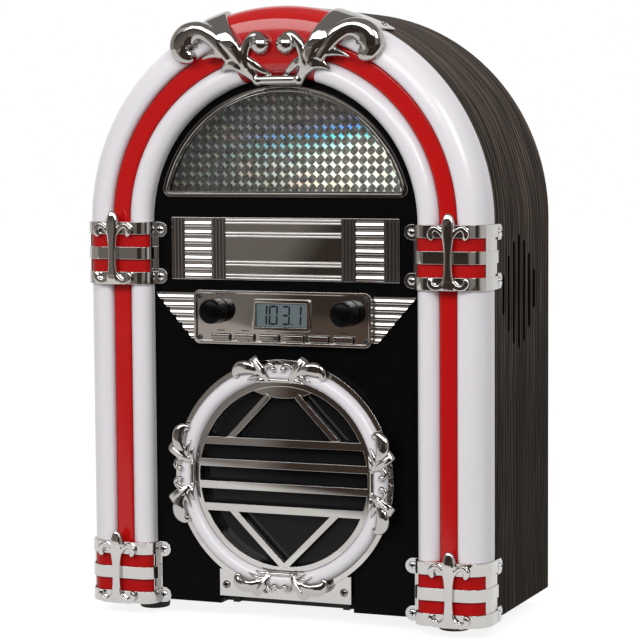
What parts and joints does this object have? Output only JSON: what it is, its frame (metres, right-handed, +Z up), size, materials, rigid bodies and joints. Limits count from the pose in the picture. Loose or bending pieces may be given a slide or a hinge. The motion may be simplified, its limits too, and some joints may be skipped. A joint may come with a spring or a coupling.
{
  "type": "mini cd jukebox",
  "caption": "Table-top jukebox with an arched wood cabinet, lit tubes, chrome scroll trim, tuner controls and a hinged round door over an upright disc deck.",
  "frame": {"origin": "on the floor under the middle of the cabinet's bounding box", "axes": "+X to the right as seen from the front, +Y from the front to the back, +Z up"},
  "size_m": [0.2706, 0.1386, 0.381],
  "materials": {
    "wood_vinyl": "dark grey-brown oak-grain vinyl on board",
    "black_matte": "black moulded plastic",
    "black_gloss": "gloss black plastic",
    "white_cover": "milky translucent plastic",
    "red_cover": "gloss red translucent plastic",
    "chromed_plastic": "bright chrome plating on plastic",
    "steel": "plated steel",
    "dark_metal": "black painted steel",
    "rubber": "black rubber",
    "clear_lens": "clear plastic lens",
    "smoked_glass": "smoked clear plastic",
    "prism_film": "silver prism film",
    "lcd": "grey-green liquid crystal display",
    "circuit_board": "green circuit board",
    "cone_paper": "black paper cone"
  },
  "bodies": {
    "cabinet": {"cabinet_shell": "wood_vinyl", "base_board": "black_matte", "front_panel": "black_gloss", "rear_cover": "black_matte", "rear_cover_screws": "steel", "rubber_feet": "rubber", "arch_light_cover": "white_cover", "pillar_light_covers": "white_cover", "red_stripes": "red_cover", "red_crown": "red_cover", "upper_left_clamp": "chromed_plastic", "upper_right_clamp": "chromed_plastic", "lower_left_clamp": "chromed_plastic", "lower_right_clamp": "chromed_plastic", "red_sleeves": "red_cover", "trim_screws": "steel", "crest_ornament": "chromed_plastic", "window_bezel": "chromed_plastic", "window_lens": "clear_lens", "hologram_sheet": "prism_film", "display_light_box": "black_matte", "title_plate": "chromed_plastic", "tuner_faceplate": "chromed_plastic", "left_wing": "chromed_plastic", "right_wing": "chromed_plastic", "lcd_bezel": "chromed_plastic", "lcd_module": "lcd", "control_board": "circuit_board", "rotary_controls": "steel", "tact_switches": "black_matte", "disc_well": "black_matte", "cd_chassis": "steel", "deck_motors": "steel", "sled_guide_rods": "steel", "speaker_baskets": "dark_metal", "speaker_cones": "cone_paper", "main_board": "circuit_board", "power_transformer": "dark_metal", "led_strips": "circuit_board", "mains_inlet": "black_matte", "hinge_brackets": "steel", "hinge_pin": "steel", "latch_body": "black_matte"},
    "disc_door": {"door_frame": "chromed_plastic", "door_light_ring": "white_cover", "door_window": "smoked_glass", "door_clasps": "chromed_plastic", "door_screws": "steel"},
    "volume_knob": {"volume_knob": "black_gloss"},
    "selector_knob": {"selector_knob": "black_gloss"},
    "button_1": {"button_1": "chromed_plastic"},
    "button_2": {"button_2": "chromed_plastic"},
    "button_3": {"button_3": "chromed_plastic"},
    "button_4": {"button_4": "chromed_plastic"},
    "button_5": {"button_5": "chromed_plastic"},
    "button_6": {"button_6": "chromed_plastic"},
    "turntable": {"turntable_hub": "black_matte"},
    "pickup": {"optical_pickup": "black_matte"},
    "sled_gear": {"sled_gear": "white_cover"},
    "latch_plunger": {"latch_plunger": "white_cover"}
  },
  "joints": [
    {"name": "door_hinge", "type": "hinge", "parent": "cabinet", "child": "disc_door", "pos_m": [0, -0.04575, 0.017], "axis": [1, 0, 0], "range_deg": [0, 38]},
    {"name": "volume_turn", "type": "hinge", "parent": "cabinet", "child": "volume_knob", "pos_m": [-0.0435, -0.0595, 0.19435], "axis": [0, 1, 0], "range_deg": [-150, 150]},
    {"name": "selector_turn", "type": "hinge", "parent": "cabinet", "child": "selector_knob", "pos_m": [0.0435, -0.0595, 0.19435], "axis": [0, 1, 0], "range_deg": [-45, 45]},
    {"name": "button_1_press", "type": "slide", "parent": "cabinet", "child": "button_1", "axis": [0, 1, 0], "range_m": [0, 0.0012], "stiffness_N_per_m": 300},
    {"name": "button_2_press", "type": "slide", "parent": "cabinet", "child": "button_2", "axis": [0, 1, 0], "range_m": [0, 0.0012], "stiffness_N_per_m": 300},
    {"name": "button_3_press", "type": "slide", "parent": "cabinet", "child": "button_3", "axis": [0, 1, 0], "range_m": [0, 0.0012], "stiffness_N_per_m": 300},
    {"name": "button_4_press", "type": "slide", "parent": "cabinet", "child": "button_4", "axis": [0, 1, 0], "range_m": [0, 0.0012], "stiffness_N_per_m": 300},
    {"name": "button_5_press", "type": "slide", "parent": "cabinet", "child": "button_5", "axis": [0, 1, 0], "range_m": [0, 0.0012], "stiffness_N_per_m": 300},
    {"name": "button_6_press", "type": "slide", "parent": "cabinet", "child": "button_6", "axis": [0, 1, 0], "range_m": [0, 0.0012], "stiffness_N_per_m": 300},
    {"name": "turntable_spin", "type": "hinge", "parent": "cabinet", "child": "turntable", "pos_m": [0, -0.03475, 0.0925], "axis": [0, 1, 0], "continuous": true},
    {"name": "pickup_slide", "type": "slide", "parent": "cabinet", "child": "pickup", "axis": [1, 0, 0], "range_m": [0, 0.03]},
    {"name": "sled_gear_spin", "type": "hinge", "parent": "cabinet", "child": "sled_gear", "pos_m": [0.04, -0.02525, 0.06152], "axis": [0, 1, 0], "range_deg": [0, 216]},
    {"name": "latch_press", "type": "slide", "parent": "cabinet", "child": "latch_plunger", "axis": [0, 1, 0], "range_m": [0, 0.003], "stiffness_N_per_m": 200}
  ],
  "couplings": [
    {"joint": "sled_gear_spin", "follows": "pickup_slide", "rad_per_m": 125}
  ]
}
